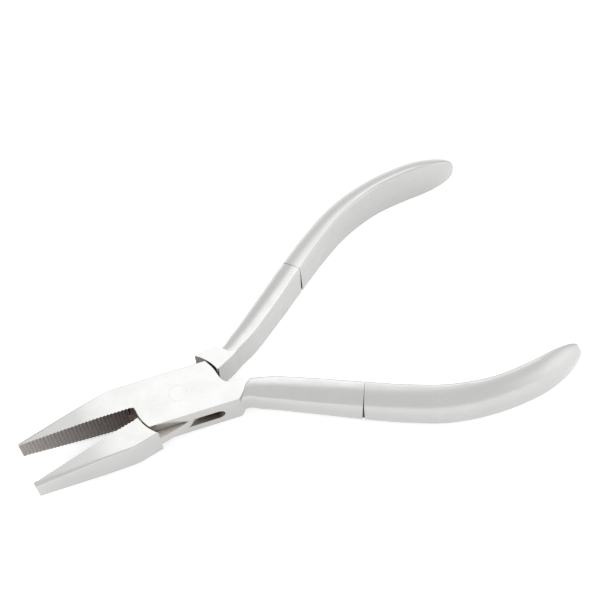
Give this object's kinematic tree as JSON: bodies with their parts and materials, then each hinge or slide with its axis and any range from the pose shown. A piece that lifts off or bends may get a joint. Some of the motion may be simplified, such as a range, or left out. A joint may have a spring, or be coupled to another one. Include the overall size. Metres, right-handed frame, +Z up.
{
  "type": "crimping pliers",
  "caption": "Slim jewellery pliers in bright steel: tapered flat jaws with a serrated grip, a slotted box joint, and bowed handles with smooth metal grip sleeves.",
  "frame": {"origin": "on the pivot axis, at the underside of the joint", "axes": "+X from the jaws towards the handles along the slotted half, +Z up through the joint's thickness along the pivot axis"},
  "size_m": [0.1263, 0.069, 0.0121],
  "materials": {
    "body_steel": "satin polished",
    "pin_steel": "ground flush",
    "sleeve_steel": "satin"
  },
  "bodies": {
    "slotted_half": {"box_half": "body_steel", "pivot_pin": "pin_steel", "box_grip_sleeve": "sleeve_steel"},
    "passing_half": {"lap_half": "body_steel", "lap_grip_sleeve": "sleeve_steel"}
  },
  "joints": [
    {"name": "pivot", "type": "hinge", "parent": "slotted_half", "child": "passing_half", "pos_m": [0, 0, 0], "axis": [0, 0, 1], "range_deg": [-15.3, 30]}
  ]
}
